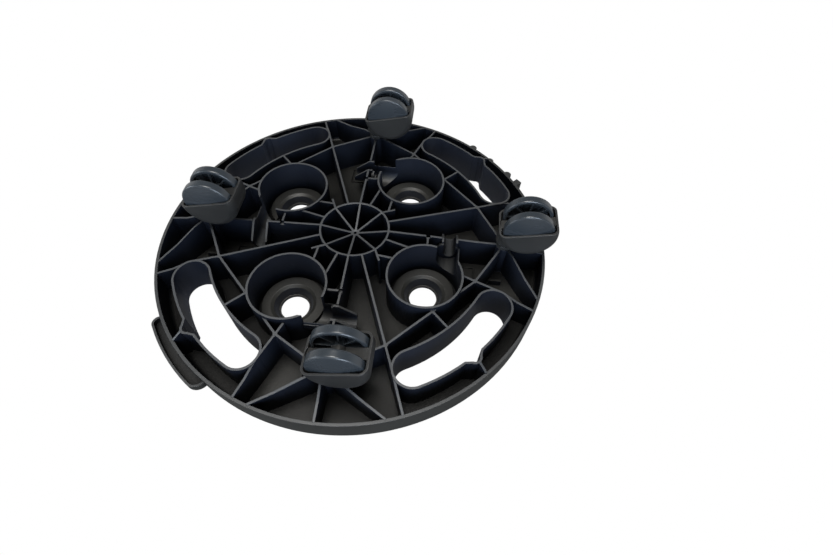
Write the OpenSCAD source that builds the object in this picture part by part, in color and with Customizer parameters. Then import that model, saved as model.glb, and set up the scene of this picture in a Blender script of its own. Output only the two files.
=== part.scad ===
// Round moving dolly: a ribbed, injection-moulded deck on four plug-in twin-wheel casters.
// Upright frame in millimetres: +Z up, the floor at z = 0, the origin under the deck's centre.

/* [Deck] */
// Radius of the circle that the four caster sockets sit on
socket_r = 148; // [144:1:152]
// Radius of the deck's outer edge
deck_r = 190; // [188:1:194]
// Height of the deck, from its top face down to the socket mouths
deck_h = 38.5; // [37:0.5:41]
// Thickness of the deck's skin
skin_t = 3; // [2.5:0.1:3.5]
// Thickness of ribs and standing walls
rib_t = 2; // [1.8:0.1:2.6]
// Thickness of the rim wall
rim_t = 2.6; // [2.4:0.1:3.2]
// Depth of the rim wall, from the top face to the rim's free edge
rim_h = 30.5; // [28:0.5:32]
// Radius of the rounded edge where the top face meets the rim
edge_round = 6; // [4:0.5:7]

/* [Cups] */
// Distance of each cup from the deck's centre
cup_pos_r = 88; // [87:0.5:89]
// Angle of each cup from its socket's axis, in degrees
cup_angle = -33.3; // [-34:0.1:-32]
// Radius of the middle of the cup wall
cup_r = 35; // [34:0.5:36]
// Radius of the hole through a cup's floor
cup_hole_r = 13.6; // [12:0.1:15]

/* [Hand slots] */
// Radius on which the middle of a hand slot lies
slot_pos_r = 155.6; // [155.4:0.1:155.8]
// Half the width of a hand slot, to the middle of its wall
slot_half_w = 16.5; // [16.2:0.1:16.9]
// Half the angle that a slot's middle line turns through, in degrees
slot_half_angle = 17.8; // [17.5:0.1:18]

/* [Casters] */
// Radius of a wheel
wheel_r = 23; // [22:0.5:23.5]
// Distance of the wheel axle behind the swivel axis
trail = 16; // [15:0.5:17]
// Direction in which the casters trail at rest, in degrees
trail_angle = 0; // [0:15:345]
// Outer radius of the hood
hood_r = 26.5; // [26.5:0.5:27]
// Overall width of the hood
hood_w = 36; // [36:0.5:38]
// Length of the fluted stem
stem_len = 25; // [22:0.5:28]
// Outer radius of the flutes on a stem
stem_r = 4.8; // [4.7:0.05:4.85]

/* [Hidden] */
$fn = 96;

deck_colour = [0.13, 0.14, 0.15];
caster_colour = [0.2, 0.2, 0.2];
wheel_colour = [0.27, 0.3, 0.33];
steel_colour = [0.7, 0.7, 0.72];

// Heights of the caster, from the floor up.
axle_z = wheel_r;
housing_top = axle_z + 25;
bush_h = 4.4;
collar_z = housing_top + bush_h + 0.1;
collar_h = 3.5;
socket_z = collar_z + collar_h;
deck_top = socket_z + deck_h;

// The moulding is described with its top face at z = 0 and its ribs standing up.
node_r = 129.5;         // where the star ribs meet the radial ribs
node_angle = 21.2;
hub_r = 33.7;           // middle of the hub ring
hub_ring_h = deck_h + 3.7;
hub_centre_h = deck_h - 4.1;
flat_from_r = 126;      // ribs are level between these two radii
flat_to_r = 157;
slot_outer_r = slot_pos_r + slot_half_w;
slot_outer_h = deck_h - 1.6;
rib_outer_h = deck_h - 5.6;
cup_h = deck_h + 4.6;
cup_floor_r = 29.6;     // the raised floor of a cup, and the foot of the funnel in it
cup_floor_h = 11;
funnel_low = 2.5;
boss_r = 7.7;
socket_hole_r = stem_r + 0.1;
socket_depth = stem_len + 2;
rib_reach = deck_r - 2;
gap_x = [87, 103];      // gap in the axis rib, crossed by the stem cradle
notch_x = [71, 75];
cradle_x = 95;          // axis of the cradle for a stored caster's stem
cradle_z = 25;
cradle_r = 6;
cup_side = 4;           // how far it reaches towards the cup
trough_x = 93;          // the wider trough for that caster's housing
trough_r = 10.2;
pad_size = [18, 15];
tab_angle = 225.7;
latch_angle = 44.4;

// Twin wheels and what holds them.
web_half = 4.8;
wheel_gap = 0.6;
wheel_in = web_half + wheel_gap;
wheel_out = 15.8;
pin_r = 3;
axle_r = 2;
run_gap = 0.05;
housing_r = 9.5;
hood_t = 1.8;
hood_round = 7;
disc_dome_r = 100;      // the wheels' discs bulge on this radius
chord_tilt = 13.6;      // slope of the hood's straight lower edge
chord_drop = 3;         // distance of that edge below the axle
ring_z = housing_top - 5;
spokes = 8;
flutes = 12;

function polar(r, a) = [r * cos(a), r * sin(a)];

cup_centre = polar(cup_pos_r, cup_angle);

module quarters() { for (a = [0:90:270]) rotate(a) children(); }

// A straight wall of thickness w, seen in plan, from p to q.
module bar(p, q, w = rib_t) {
    d = q - p;
    translate(p) rotate(atan2(d[1], d[0])) translate([0, -w / 2]) square([norm(d), w]);
}

// The plan of a hand slot, with its shallow bay towards the rim, grown by grow all round.
module slot_plan(grow) {
    span = polar(2 * deck_r, slot_half_angle);
    bay_r = 5.5 + grow;
    intersection() {
        difference() {
            circle(slot_outer_r + grow);
            circle(slot_pos_r - slot_half_w - grow);
        }
        polygon([[0, 0], span, [span[0], -span[1]]]);
    }
    for (s = [-1, 1]) translate(polar(slot_pos_r, s * slot_half_angle)) circle(slot_half_w + grow);
    translate([slot_outer_r + 0.7, 0]) {
        circle(bay_r);
        polygon([for (p = [[-0.5, -2.2], [0.5, -0.86], [0.5, 0.86], [-0.5, 2.2]]) p * bay_r]);
    }
}

// The ribs of one quarter, in plan, with the socket's axis along +X.
module quarter_ribs_plan() {
    socket = [socket_r, 0];
    near = polar(node_r, -node_angle);
    far = polar(node_r, node_angle);
    bar([hub_r, 0], [gap_x[0], 0]);
    bar([gap_x[1], 0], socket);
    bar(socket, [rib_reach, 0]);
    for (s = [-1, 1]) bar(socket, polar(rib_reach, s * 17));
    bar(socket, near);
    bar(socket, far);
    bar(polar(hub_r, node_angle), polar(rib_reach, node_angle));
    bar(polar(118, -node_angle), polar(rib_reach, -node_angle));
    bar(near, polar(node_r, node_angle - 90));
    bar(polar(118.5, -45), polar(slot_pos_r - slot_half_w, -45));
    for (p = [near, far, polar(118.5, -45)]) translate(p) circle(rib_t);
    // Short ribs between the hub, the cup and the axis rib.
    bar(polar(hub_r, -18), cup_centre + polar(cup_r, 118));
    bar(polar(hub_r, -45), [29.5, -36.5]);
    bar([26.5, -30], cup_centre + polar(cup_r, 152));
    bar([notch_x[0] + 2, 0], [notch_x[0] + 2, -15]);
}

module ribs_plan() {
    difference() {
        union() {
            quarters() quarter_ribs_plan();
            quarters() rotate(-45) bar([0, 0], [hub_r, 0]);
            quarters() bar([0, 0], [hub_r, 0]);
            circle(4.2);
            difference() {
                circle(hub_r + rib_t / 2);
                circle(hub_r - rib_t / 2);
            }
        }
        quarters() translate(cup_centre) circle(cup_r);
        quarters() rotate(-45) slot_plan(0);
        circle(1.5);
    }
}

// Everything under this dished and stepped outline is kept, so rib tops follow it.
module rib_envelope() {
    rotate_extrude() polygon([
        [0, 0], [deck_r - 1, 0], [deck_r - 1, rim_h + 0.2], [slot_outer_r, rib_outer_h],
        [flat_to_r, deck_h], [flat_from_r, deck_h], [hub_r, hub_ring_h], [0, hub_centre_h]]);
}

module ribs() {
    intersection() {
        translate([0, 0, skin_t / 2]) linear_extrude(2 * deck_h) ribs_plan();
        rib_envelope();
    }
}

// The wall round a hand slot, with a short rib from its bay to the rim.
module slot_wall() {
    intersection() {
        translate([0, 0, skin_t / 2]) linear_extrude(2 * deck_h) rotate(-45) {
            difference() {
                slot_plan(rib_t / 2);
                slot_plan(-rib_t / 2);
            }
            bar([slot_outer_r + 6.5, 0], [rib_reach, 0]);
        }
        rotate_extrude() polygon([
            [0, 0], [deck_r - 1, 0], [deck_r - 1, rim_h + 0.2], [slot_outer_r + 7, slot_outer_h],
            [slot_outer_r, slot_outer_h], [flat_to_r, deck_h], [0, deck_h]]);
    }
}

// The flat skin and the rim wall, with a rounded outer edge.
module shell() {
    rotate_extrude() difference() {
        union() {
            square([deck_r - edge_round, rim_h]);
            translate([0, edge_round]) square([deck_r, rim_h - edge_round]);
            translate([deck_r - edge_round, edge_round]) circle(edge_round);
        }
        translate([0, skin_t + 4]) square([deck_r - rim_t, rim_h]);
        translate([0, skin_t]) square([deck_r - rim_t - 4, rim_h]);
        translate([deck_r - rim_t - 4, skin_t + 4]) circle(4);
        translate([0, -1]) square([1.5, rim_h]);
    }
}

// A cup: a tall round wall, and the raised floor inside it.
module cup() {
    translate(cup_centre) {
        difference() {
            cylinder(r = cup_r + rib_t / 2, h = cup_h);
            translate([0, 0, skin_t]) cylinder(r = cup_r - rib_t / 2, h = cup_h);
        }
        cylinder(r = cup_floor_r, h = cup_floor_h);
    }
}

// What is cut from a cup's floor: a funnel that gets steeper, down to the through hole.
module cup_hole() {
    translate(cup_centre) rotate_extrude() polygon([
        [0, -1], [cup_hole_r, -1], [cup_hole_r, funnel_low], [cup_hole_r + 1.5, funnel_low],
        [cup_hole_r + 5, cup_floor_h - 2], [cup_hole_r + 8, cup_floor_h], [cup_hole_r + 8, cup_h],
        [0, cup_h]]);
}

// A round-bottomed groove of radius r, in section, open upwards to height h above its axis.
module groove_plan(r, h) {
    circle(r);
    translate([-r, 0]) square([2 * r, h]);
}

// The U-shaped cradle in the axis rib's gap. Its walls slope down, away from the rib.
module stem_cradle() {
    outer_r = (gap_x[1] - gap_x[0]) / 2;
    length = 16.5;
    slope = 37;
    difference() {
        translate([cradle_x, length, cradle_z]) rotate([90, 0, 0]) linear_extrude(length + cup_side)
            groove_plan(outer_r, deck_h - cradle_z);
        translate([gap_x[0] - 1, rib_t / 2, deck_h]) rotate([-slope, 0, 0])
            cube([2 * outer_r + 2, 2 * length, length]);
    }
    translate([gap_x[0] - 1, -rib_t / 2, skin_t / 2])
        cube([gap_x[1] - gap_x[0] + 2, rib_t, cradle_z - cradle_r - skin_t / 2]);
}

// The wider trough that joins the cradle to the cup.
module housing_trough() {
    difference() {
        translate([trough_x, 1 - cup_side, cradle_z]) rotate([90, 0, 0]) linear_extrude(25)
            groove_plan(trough_r + rib_t, 4.5);
        translate(cup_centre) cylinder(r = cup_r, h = cup_h);
    }
}

// The space in the cradle and in the trough.
module stored_caster_space() {
    translate([cradle_x, 20, cradle_z]) rotate([90, 0, 0]) linear_extrude(30) groove_plan(cradle_r, deck_h);
    translate([trough_x, -cup_side - rib_t, cradle_z]) rotate([90, 0, 0]) linear_extrude(26)
        groove_plan(trough_r, deck_h);
}

// Small low walls beside a socket.
module socket_strokes() {
    for (s = [-1, 1]) translate([138, s * 24 - 1, skin_t / 2]) cube([12, 2, 9]);
}

// Flat pads on the skin, each with a groove round it.
module pads() {
    for (s = [-1, 1]) translate([104, s * 16 - pad_size[1] / 2, skin_t / 2])
        cube([pad_size[0], pad_size[1], 2]);
}
module pad_grooves() {
    for (s = [-1, 1]) translate([104, s * 16 - pad_size[1] / 2, skin_t - 1.2]) difference() {
        translate([-2, -2, 0]) cube([pad_size[0] + 4, pad_size[1] + 4, 3]);
        translate([0, 0, -1]) cube([pad_size[0], pad_size[1], 5]);
    }
}

// The plan of the coupling tab, grown by grow. Its ends are rounded, one more widely than the other.
module tab_plan(grow) {
    half_angle = 10.1;
    outer_r = deck_r + 10.5;
    span = polar(2 * deck_r, half_angle);
    intersection() {
        difference() {
            circle(outer_r + grow);
            circle(deck_r - 3 - grow);
        }
        polygon([[0, 0], span, [span[0], -span[1]]]);
    }
    translate(polar(outer_r - 6.5, -half_angle)) circle(6.5 + grow);
    translate(polar(outer_r - 10, half_angle)) circle(10 + grow);
}

// The hollow coupling tab that hooks onto the next dolly.
module coupling_tab() {
    low = 14;
    high = 21;
    rotate(tab_angle) difference() {
        translate([0, 0, low]) linear_extrude(high - low) tab_plan(0);
        translate([0, 0, low + 1.6]) linear_extrude(high) difference() {
            tab_plan(-2);
            circle(deck_r + 0.01);
        }
        translate([0, 0, -1]) cylinder(r = deck_r - rim_t / 2, h = deck_h);
    }
}

// The receiving plate, opposite the tab: three rounded lugs and an end stop.
module coupling_latch() {
    plate = [6, 84, 17];
    lug_gap = 28.6;
    lug_r = 4.5;
    rotate(latch_angle) difference() {
        union() {
            translate([deck_r - 6, -plate[1] / 2, 8]) cube(plate);
            for (n = [-1:1]) translate([deck_r - 1, n * lug_gap, 10]) cylinder(r = lug_r, h = rim_h - 11.5);
            translate([deck_r - 6, -plate[1] / 2 - 6, 8]) cube([8, 7, rim_h - 9]);
        }
        translate([0, 0, -1]) cylinder(r = deck_r - rim_t, h = 2 * deck_h);
    }
}

// Fine grip rings in the deck's top face.
module grip_rings() {
    for (r = [46, 120, 182]) rotate_extrude() translate([r - 1, -1]) square([2, 1.6]);
}

module moulding() {
    difference() {
        union() {
            shell();
            ribs();
            quarters() {
                translate([socket_r, 0, 0.5]) cylinder(r = boss_r, h = deck_h - 0.5);
                cup();
                slot_wall();
                stem_cradle();
                housing_trough();
                socket_strokes();
                pads();
            }
            coupling_tab();
            coupling_latch();
        }
        quarters() {
            translate([socket_r, 0, deck_h - socket_depth]) cylinder(r = socket_hole_r, h = socket_depth + 1);
            cup_hole();
            stored_caster_space();
            rotate(-45) translate([0, 0, -1]) linear_extrude(deck_h + 10) slot_plan(-rib_t / 2);
            translate([notch_x[0], -rib_t, deck_h - 1]) cube([notch_x[1] - notch_x[0], 2 * rib_t, 10]);
            pad_grooves();
        }
        grip_rings();
    }
}

module deck() {
    color(deck_colour) translate([0, 0, deck_top]) rotate([180, 0, 0]) moulding();
}

// Places a caster part on the n-th socket, with +X as the trailing direction.
module at_socket(n) {
    translate(concat(polar(socket_r, 90 * (n - 1)), 0)) rotate(trail_angle) children();
}

// A drum about the Y axis, with rounded corners.
module drum(r, half_w, round_r) {
    corner = half_w - round_r;
    rotate([90, 0, 0]) rotate_extrude() {
        translate([0, -half_w]) square([r - round_r, 2 * half_w]);
        translate([0, -corner]) square([r, 2 * corner]);
        for (s = [-1, 1]) translate([r - round_r, s * corner]) circle(round_r);
    }
}

// Half-space under the hood's straight edge, raised by lift.
module below_chord(lift = 0) {
    reach = 2 * hood_r;
    rotate([0, chord_tilt, 0]) translate([-reach, -reach, -2 * reach - chord_drop + lift]) cube(2 * reach);
}

module stem(n) {
    core_r = stem_r - 0.5;
    tip = 1.5;
    color(caster_colour) at_socket(n) difference() {
        union() {
            translate([0, 0, collar_z]) cylinder(r = 7.6, h = collar_h, $fn = 6);
            translate([0, 0, socket_z - 1]) cylinder(r = core_r, h = stem_len - tip + 1);
            translate([0, 0, socket_z + stem_len - tip]) cylinder(r1 = core_r, r2 = core_r - 1, h = tip);
            for (a = [0:360 / flutes:359]) rotate(a)
                translate([core_r - 1, -0.55, socket_z - 1]) cube([stem_r - core_r + 1, 1.1, stem_len - tip]);
        }
        translate([0, 0, collar_z - 1]) cylinder(r = pin_r, h = stem_len + collar_h - 2);
    }
}

module kingpin(n) {
    bottom = housing_top - 20;
    top = socket_z + stem_len - 3.2;
    color(steel_colour) at_socket(n) difference() {
        union() {
            translate([0, 0, bottom + 1]) cylinder(r = pin_r, h = top - bottom - 1);
            translate([0, 0, bottom]) cylinder(r1 = pin_r - 0.8, r2 = pin_r, h = 1);
        }
        translate([0, 0, ring_z]) difference() {
            cylinder(r = pin_r + 1, h = 1.4);
            cylinder(r = pin_r - 0.6, h = 1.4);
        }
    }
}

module retaining_ring(n) {
    color(steel_colour) at_socket(n) translate([0, 0, ring_z + 0.1]) difference() {
        cylinder(r = pin_r + 0.6, h = 1.2);
        translate([0, 0, -1]) cylinder(r = pin_r - 0.55, h = 4);
        translate([0, -0.9, -1]) cube([5, 1.8, 4]);
    }
}

module swivel_bush(n) {
    color(caster_colour) at_socket(n) translate([0, 0, housing_top + 0.05]) difference() {
        union() {
            cylinder(r = 4.7, h = bush_h);
            cylinder(r = 6.2, h = 1.2);
        }
        translate([0, 0, -1]) cylinder(r = pin_r + 0.02, h = bush_h + 2);
    }
}

// The fork: a web between the wheels, and the round housing that the kingpin turns in.
module fork(n) {
    crown_r = hood_r - hood_t - 0.1;
    wheel_room = wheel_r + 0.8;
    color(caster_colour) at_socket(n) difference() {
        union() {
            translate([0, 0, axle_z + 6]) cylinder(r = housing_r, h = housing_top - axle_z - 6);
            translate([trail, web_half, axle_z]) rotate([90, 0, 0]) cylinder(r = crown_r, h = 2 * web_half);
        }
        translate([trail, 0, axle_z]) {
            difference() {
                below_chord(1.5);
                rotate([90, 0, 0]) translate([0, 0, -web_half]) cylinder(r = 6.5, h = 2 * web_half);
            }
            for (s = [0, 1]) mirror([0, s, 0]) translate([0, web_half, 0]) rotate([-90, 0, 0])
                cylinder(r = wheel_room, h = 20);
            translate([0, -2 * web_half, 0]) rotate([-90, 0, 0])
                cylinder(r = axle_r + 0.02, h = 4 * web_half);
        }
        translate([0, 0, housing_top - 21]) cylinder(r = pin_r + run_gap, h = 30);
        translate([0, 0, ring_z - 0.1]) cylinder(r = pin_r + 0.8, h = 1.6);
    }
}

// The hood: half a hollow drum, cut off straight just under the axle.
module hood(n) {
    color(caster_colour) at_socket(n) difference() {
        translate([trail, 0, axle_z]) difference() {
            drum(hood_r, hood_w / 2, hood_round);
            drum(hood_r - hood_t, hood_w / 2 - hood_t, hood_round - hood_t);
            below_chord();
        }
        translate([0, 0, axle_z]) cylinder(r = housing_r + 0.1, h = 2 * hood_r);
    }
}

module axle(n) {
    half = wheel_out - 2.2;
    color(steel_colour) at_socket(n) translate([trail, half, axle_z]) rotate([90, 0, 0])
        cylinder(r = axle_r, h = 2 * half);
}

// A wheel, built about +Z from its open side to its domed disc.
module wheel_body() {
    depth = wheel_out - wheel_in;
    corner = 1.6;
    disc_corner = depth - disc_dome_r + sqrt(pow(disc_dome_r - corner, 2) - pow(wheel_r - corner, 2));
    hub_wall = 5;
    tyre = 3;
    disc = 1.8;
    difference() {
        rotate_extrude() difference() {
            intersection() {
                union() {
                    square([wheel_r - corner, depth]);
                    translate([0, corner]) square([wheel_r, disc_corner - corner]);
                    for (z = [corner, disc_corner]) translate([wheel_r - corner, z]) circle(corner);
                }
                translate([0, depth - disc_dome_r]) circle(disc_dome_r, $fn = 180);
            }
            translate([hub_wall, -1]) square([wheel_r - tyre - hub_wall, depth - disc - 1.5]);
        }
        translate([0, 0, -1]) cylinder(r = axle_r + run_gap, h = depth - 1);
    }
    for (a = [0:360 / spokes:359]) rotate(a)
        translate([hub_wall - 0.5, -0.65, 0.8])
            cube([wheel_r - tyre - hub_wall + 1, 1.3, depth - disc - 2.5]);
}

module wheel(n, side) {
    color(wheel_colour) at_socket(n) translate([trail, side * wheel_in, axle_z])
        rotate([side * -90, 0, 0]) wheel_body();
}

deck();
for (n = [1:4]) {
    stem(n);
    kingpin(n);
    retaining_ring(n);
    swivel_bush(n);
    fork(n);
    hood(n);
    axle(n);
    wheel(n, 1);
    wheel(n, -1);
}
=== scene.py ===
"""Looks of the round moving dolly: moulded plastic, light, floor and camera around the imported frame."""
import math

import bpy
from mathutils import Euler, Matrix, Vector

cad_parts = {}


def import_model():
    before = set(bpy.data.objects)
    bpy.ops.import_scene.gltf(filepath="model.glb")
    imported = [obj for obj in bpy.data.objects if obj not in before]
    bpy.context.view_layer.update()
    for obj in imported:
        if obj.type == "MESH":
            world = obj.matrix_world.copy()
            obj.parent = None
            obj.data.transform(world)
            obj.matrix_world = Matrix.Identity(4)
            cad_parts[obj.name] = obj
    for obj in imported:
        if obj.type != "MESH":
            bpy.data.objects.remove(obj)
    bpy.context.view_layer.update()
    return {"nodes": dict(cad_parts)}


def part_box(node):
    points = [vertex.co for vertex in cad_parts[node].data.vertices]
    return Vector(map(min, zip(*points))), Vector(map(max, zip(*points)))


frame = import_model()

# ---------------------------------------------------------------- node helpers


class Graph:
    """A material's node tree, with short ways to add and join nodes."""

    def __init__(self, name):
        self.material = bpy.data.materials.new(name)
        self.material.use_nodes = True
        self.tree = self.material.node_tree
        self.tree.nodes.clear()
        self.output = self.tree.nodes.new("ShaderNodeOutputMaterial")

    def add(self, kind, inputs=None, **settings):
        node = self.tree.nodes.new(kind)
        for key, value in settings.items():
            setattr(node, key, value)
        for key, value in (inputs or {}).items():
            self.set(node.inputs[key], value)
        return node

    def set(self, socket, value):
        if isinstance(value, bpy.types.NodeSocket):
            self.tree.links.new(value, socket)
        else:
            socket.default_value = value

    def noise(self, place, scale, detail=3.0, rough=0.5):
        inputs = {"Vector": place, "Scale": scale, "Detail": detail, "Roughness": rough}
        return self.add("ShaderNodeTexNoise", inputs).outputs["Fac"]

    def map(self, value, low, high, to_low=0.0, to_high=1.0):
        inputs = {"Value": value, "From Min": low, "From Max": high, "To Min": to_low, "To Max": to_high}
        return self.add("ShaderNodeMapRange", inputs).outputs["Result"]

    def math(self, operation, a, b=0.0):
        return self.add("ShaderNodeMath", {0: a, 1: b}, operation=operation).outputs[0]

    def mix(self, share, a, b):
        node = self.add("ShaderNodeMix", data_type="RGBA")
        for name, value in (("Factor", share), ("A", a), ("B", b)):
            self.set(next(s for s in node.inputs if s.name == name and s.enabled), value)
        return next(s for s in node.outputs if s.enabled)


def surface(g, colour, rough, normal, sheen, **extra):
    inputs = {"Base Color": colour, "Roughness": rough, "Normal": normal, "Specular IOR Level": sheen}
    shader = g.add("ShaderNodeBsdfPrincipled", {**inputs, **extra})
    g.tree.links.new(shader.outputs[0], g.output.inputs[0])
    return g.material


def moulded(name, dark, light, rough, grain, sheen, edge_highlight_tone):
    """Injection-moulded plastic: mottled tone, fine grain, paler edges from a painted highlight and dull,
    dusty flats.
    """
    g = Graph(name)
    place = g.add("ShaderNodeTexCoord").outputs["Object"]
    cloud = g.noise(place, 14.0)
    fine = g.noise(place, 900.0, 2.0, 0.6)
    flow = g.noise(g.add("ShaderNodeMapping", {"Vector": place, "Scale": (1, 1, 9)}).outputs[0], 40.0)
    rounded = g.add("ShaderNodeBevel", {"Radius": 0.0007}, samples=4).outputs[0]
    bump = g.add("ShaderNodeBump", {
        "Strength": grain, "Distance": 0.0004, "Height": fine, "Normal": rounded}).outputs[0]
    # Painted edge highlight: edges are where the rounded normal leaves the flat one.
    flat = g.add("ShaderNodeNewGeometry").outputs["Normal"]
    turn = g.add("ShaderNodeVectorMath", {0: rounded, 1: flat}, operation="DOT_PRODUCT").outputs["Value"]
    edge = g.math("MULTIPLY", g.map(turn, 0.995, 0.9), g.map(fine, 0.3, 0.6, 0.6, 1.0))
    tone = g.mix(g.map(cloud, 0.3, 0.7), dark, light)
    tone = g.mix(g.math("MULTIPLY", g.map(flow, 0.5, 0.75), 0.35), tone, light)
    # Painted highlight: edges are mixed towards the paler edge tone.
    tone = g.mix(edge, tone, edge_highlight_tone)
    mottle = g.map(cloud, 0.3, 0.7, rough - 0.06, rough + 0.06)
    shine = g.math("ADD", mottle, g.map(flow, 0.4, 0.7, -0.03, 0.03))
    return surface(g, tone, shine, bump, sheen)


def deck_plastic():
    """The deck's plastic: near black, with dull rib tops made paler by a painted highlight, darker, slightly
    shinier walls with a painted navy sheen, a painted warm lit tone on flats and painted shade in recesses.
    """
    g = Graph("deck_plastic")
    place = g.add("ShaderNodeTexCoord").outputs["Object"]
    geometry = g.add("ShaderNodeNewGeometry")
    x, y, height = g.add("ShaderNodeSeparateXYZ", {0: geometry.outputs["Position"]}).outputs
    radius = g.math("SQRT", g.math("ADD", g.math("MULTIPLY", x, x), g.math("MULTIPLY", y, y)))
    facing = g.add("ShaderNodeSeparateXYZ", {0: geometry.outputs["Normal"]}).outputs[2]
    down = g.math("MULTIPLY", facing, -1.0)
    cloud = g.noise(place, 13.0)
    fine = g.noise(place, 1000.0, 2.0, 0.6)
    drawn_out = g.add("ShaderNodeMapping", {"Vector": place, "Scale": (1, 7, 1)}).outputs[0]
    highlight_streaks = g.noise(drawn_out, 90.0, 5.0, 0.7)
    rounded = g.add("ShaderNodeBevel", {"Radius": 0.0006}, samples=4).outputs[0]
    bump = g.add("ShaderNodeBump", {
        "Strength": 0.16, "Distance": 0.0004, "Height": fine, "Normal": rounded}).outputs[0]
    occlusion = g.add("ShaderNodeAmbientOcclusion", {"Distance": 0.03}, samples=6).outputs["AO"]
    # Painted highlight on the rib tops: the flat faces that look down and stand well clear of the skin.
    top = g.math("MULTIPLY", g.map(down, 0.6, 0.9), g.map(height, DECK_TOP - 0.013, DECK_TOP - 0.018))
    # The painted highlight is weaker at the rim's free edge than on the ribs, and the rim's outer wall takes
    # the flats' painted warm lit tone.
    inside = g.map(radius, DECK_REACH - 0.004, DECK_REACH - 0.002, 1.0, 0.5)
    outside = g.map(radius, DECK_REACH - 0.0015, DECK_REACH - 0.0005)
    rib_top_highlight = g.math("MULTIPLY", g.math("MULTIPLY", top, inside), g.map(highlight_streaks, 0.3, 0.6, 0.75, 1.0))
    # Painted light: walls get a painted navy sheen and flats get a painted warm lit tone. Which one a face
    # gets depends on the way it looks.
    wall = g.mix(g.map(cloud, 0.3, 0.7), WALL_SHEEN_NAVY, WALL_SHEEN_NAVY_LIGHT)
    flat = g.mix(g.map(cloud, 0.3, 0.7), LIT_SKIN_TONE, LIT_SKIN_TONE_LIGHT)
    level = g.map(g.math("ABSOLUTE", down), 0.35, 0.8)
    tone = g.mix(g.math("MAXIMUM", level, outside), wall, flat)
    # Painted highlight: rib tops are mixed towards a pale grey, and they are also made a little rougher.
    tone = g.mix(rib_top_highlight, tone, RIB_TOP_HIGHLIGHT)
    # Painted shade: recesses are darkened towards near black, and their sheen is lowered as well.
    tone = g.mix(g.map(occlusion, 0.25, 0.8, 0.9, 0.0), tone, RECESS_SHADE)
    rough = g.math("ADD", g.map(cloud, 0.3, 0.7, 0.40, 0.50), g.math("MULTIPLY", rib_top_highlight, 0.08))
    sheen = g.map(occlusion, 0.3, 0.85, 0.12, 0.5)
    return surface(g, tone, rough, bump, sheen)


def steel(name):
    """Zinc-plated steel with faint turning marks."""
    g = Graph(name)
    place = g.add("ShaderNodeTexCoord").outputs["Object"]
    marks = g.noise(place, 300.0)
    bump = g.add("ShaderNodeBump", {"Strength": 0.15, "Distance": 0.0002, "Height": marks}).outputs[0]
    return surface(g, STEEL_GREY, g.map(marks, 0.3, 0.7, 0.25, 0.4), bump, 0.5, Metallic=1.0)


DECK_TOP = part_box("deck")[1].z
DECK_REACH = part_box("deck")[1].x  # to the latch, 0.5 mm past the rim
# Painted light for the deck: a navy sheen on walls and a warm lit tone on flats.
WALL_SHEEN_NAVY = (0.0040, 0.0056, 0.0105, 1)
WALL_SHEEN_NAVY_LIGHT = (0.0068, 0.0098, 0.0185, 1)
LIT_SKIN_TONE = (0.0145, 0.0145, 0.0130, 1)
LIT_SKIN_TONE_LIGHT = (0.0240, 0.0238, 0.0210, 1)
# Painted highlight for the rib tops.
RIB_TOP_HIGHLIGHT = (0.044, 0.046, 0.049, 1)
# Painted shade for recesses.
RECESS_SHADE = (0.0015, 0.0016, 0.002, 1)
STEEL_GREY = (0.56, 0.56, 0.57, 1)
FLOOR_GREY = (0.66, 0.66, 0.65, 1)
WHITE = (1, 1, 1, 1)

DECK = deck_plastic()
# Caster and wheel plastics; their paler edge tones are a painted highlight.
CASTER = moulded(
    "caster_plastic", dark=(0.018, 0.018, 0.018, 1), light=(0.026, 0.026, 0.025, 1),
    rough=0.40, grain=0.10, sheen=0.5, edge_highlight_tone=(0.06, 0.06, 0.06, 1))
WHEEL = moulded(
    "wheel_plastic", dark=(0.024, 0.029, 0.034, 1), light=(0.030, 0.036, 0.043, 1),
    rough=0.27, grain=0.04, sheen=0.5, edge_highlight_tone=(0.06, 0.07, 0.08, 1))
STEEL = steel("zinc_steel")
FINISH = {"deck": DECK, "wheel": WHEEL, "kingpin": STEEL, "retaining": STEEL, "axle": STEEL}

for node_name, node in frame["nodes"].items():
    finish = FINISH.get(node_name.split("_")[0], CASTER)
    node.data.materials.clear()
    node.data.materials.append(finish)

# ---------------------------------------------------------------- stage

COLLAR_THICKNESS = 0.0035
SOCKET_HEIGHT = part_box("stem_1")[0].z + COLLAR_THICKNESS


def one_sided_floor():
    """A pale floor that runs out into white, seen from above only: the main camera is under it."""
    mesh = bpy.data.meshes.new("floor")
    half = 6.0
    corners = [(-half, -half, 0), (half, -half, 0), (half, half, 0), (-half, half, 0)]
    mesh.from_pydata(corners, [], [(0, 1, 2, 3)])
    floor = bpy.data.objects.new("floor", mesh)
    bpy.context.scene.collection.objects.link(floor)
    g = Graph("floor_paint")
    back = g.add("ShaderNodeNewGeometry").outputs["Backfacing"]
    place = g.add("ShaderNodeTexCoord").outputs["Object"]
    away = g.add("ShaderNodeVectorMath", {0: place}, operation="LENGTH").outputs["Value"]
    lit = g.add("ShaderNodeBsdfDiffuse", {"Color": FLOOR_GREY})
    white = g.add("ShaderNodeEmission", {"Color": WHITE})
    paint = g.add("ShaderNodeMixShader", {0: g.map(away, 0.45, 1.6), 1: lit.outputs[0], 2: white.outputs[0]})
    clear = g.add("ShaderNodeBsdfTransparent")
    both = g.add("ShaderNodeMixShader", {0: back, 1: paint.outputs[0], 2: clear.outputs[0]})
    g.tree.links.new(both.outputs[0], g.output.inputs[0])
    mesh.materials.append(g.material)
    floor.visible_diffuse = False
    floor.visible_glossy = False
    floor.visible_transmission = False
    floor.visible_shadow = False


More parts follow.
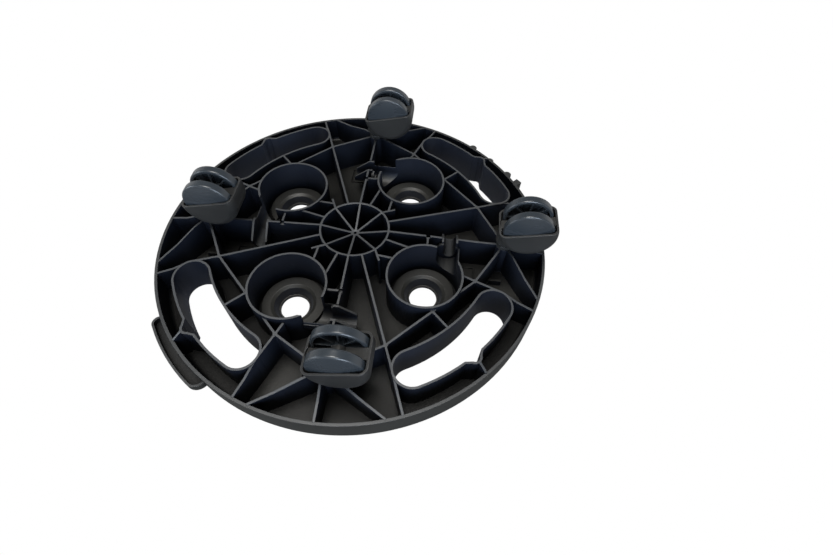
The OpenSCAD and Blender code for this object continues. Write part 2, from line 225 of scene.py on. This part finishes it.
def area_light(name, place, target, size, power, colour=(1, 1, 1), mirrored=True):
    data = bpy.data.lights.new(name, "AREA")
    data.shape = "SQUARE"
    data.size = size
    data.energy = power
    data.color = colour
    lamp = bpy.data.objects.new(name, data)
    bpy.context.scene.collection.objects.link(lamp)
    lamp.location = place
    lamp.rotation_mode = "QUATERNION"
    lamp.rotation_quaternion = (Vector(target) - Vector(place)).to_track_quat("-Z", "Y")
    lamp.visible_camera = False
    lamp.visible_glossy = mirrored


def world(from_below, from_above, horizon, zenith):
    """White behind everything. It lights more from above, and is bright in reflections at the horizon."""
    scene_world = bpy.data.worlds.new("white")
    bpy.context.scene.world = scene_world
    scene_world.use_nodes = True
    tree = scene_world.node_tree
    tree.nodes.clear()

    def map_range(value, low, high, to_low, to_high):
        node = tree.nodes.new("ShaderNodeMapRange")
        tree.links.new(value, node.inputs["Value"])
        for name, setting in (("From Min", low), ("From Max", high)):
            node.inputs[name].default_value = setting
        for name, setting in (("To Min", to_low), ("To Max", to_high)):
            if isinstance(setting, bpy.types.NodeSocket):
                tree.links.new(setting, node.inputs[name])
            else:
                node.inputs[name].default_value = setting
        return node.outputs[0]

    place = tree.nodes.new("ShaderNodeTexCoord").outputs["Generated"]
    split = tree.nodes.new("ShaderNodeSeparateXYZ")
    tree.links.new(place, split.inputs[0])
    dim = map_range(split.outputs[2], -0.2, 0.5, from_below, from_above)
    path = tree.nodes.new("ShaderNodeLightPath")
    tilt = tree.nodes.new("ShaderNodeMath")
    tilt.operation = "ABSOLUTE"
    tree.links.new(split.outputs[2], tilt.inputs[0])
    reflection = map_range(tilt.outputs[0], 0.2, 0.6, horizon, zenith)
    mirrored = map_range(path.outputs["Is Glossy Ray"], 0.0, 1.0, dim, reflection)
    seen = map_range(path.outputs["Is Camera Ray"], 0.0, 1.0, mirrored, 1.0)
    sky = tree.nodes.new("ShaderNodeBackground")
    sky.inputs["Color"].default_value = WHITE
    tree.links.new(seen, sky.inputs["Strength"])
    end = tree.nodes.new("ShaderNodeOutputWorld")
    tree.links.new(sky.outputs[0], end.inputs[0])


def camera(target, distance, azimuth, elevation, roll, lens):
    """Looks at target from below; azimuth 0 sets the camera on the -Y side and 90 on the +X side, roll is
    clockwise.
    """
    data = bpy.data.cameras.new("camera")
    data.lens = lens
    data.clip_start = 0.01
    cam = bpy.data.objects.new("camera", data)
    bpy.context.scene.collection.objects.link(cam)
    a, e = math.radians(azimuth), math.radians(elevation)
    back = Vector((math.sin(a) * math.cos(e), -math.cos(a) * math.cos(e), math.sin(e)))
    cam.location = Vector(target) + back * distance
    cam.rotation_mode = "QUATERNION"
    level = (-back).to_track_quat("-Z", "Y")
    cam.rotation_quaternion = level @ Euler((0, 0, math.radians(roll))).to_quaternion()
    bpy.context.scene.camera = cam


MIDDLE = (0, 0, 0.05)
RIB_LEVEL = (0, 0, 0.07)

one_sided_floor()
world(from_below=0.16, from_above=0.5, horizon=0.7, zenith=0.12)
area_light("key_below", (-0.15, 0.15, -1.5), MIDDLE, 0.8, 26, (1.0, 0.98, 0.94))
area_light("wall_light", (0.35, 1.1, -0.45), RIB_LEVEL, 0.7, 16, (0.72, 0.84, 1.0))
area_light("rim_light", (-1.0, 0.4, -0.25), RIB_LEVEL, 0.5, 4, (0.8, 0.9, 1.0))
area_light("key_above", (-0.5, -0.9, 1.3), MIDDLE, 1.4, 45, mirrored=False)
area_light("fill_above", (0.9, -0.6, 1.2), MIDDLE, 1.2, 22, mirrored=False)
camera(
    target=(0.0662, 0.0493, SOCKET_HEIGHT), distance=0.4131,
    azimuth=177.3, elevation=-55.5, roll=183.4, lens=19.27)
bpy.context.scene.view_settings.view_transform = "Standard"
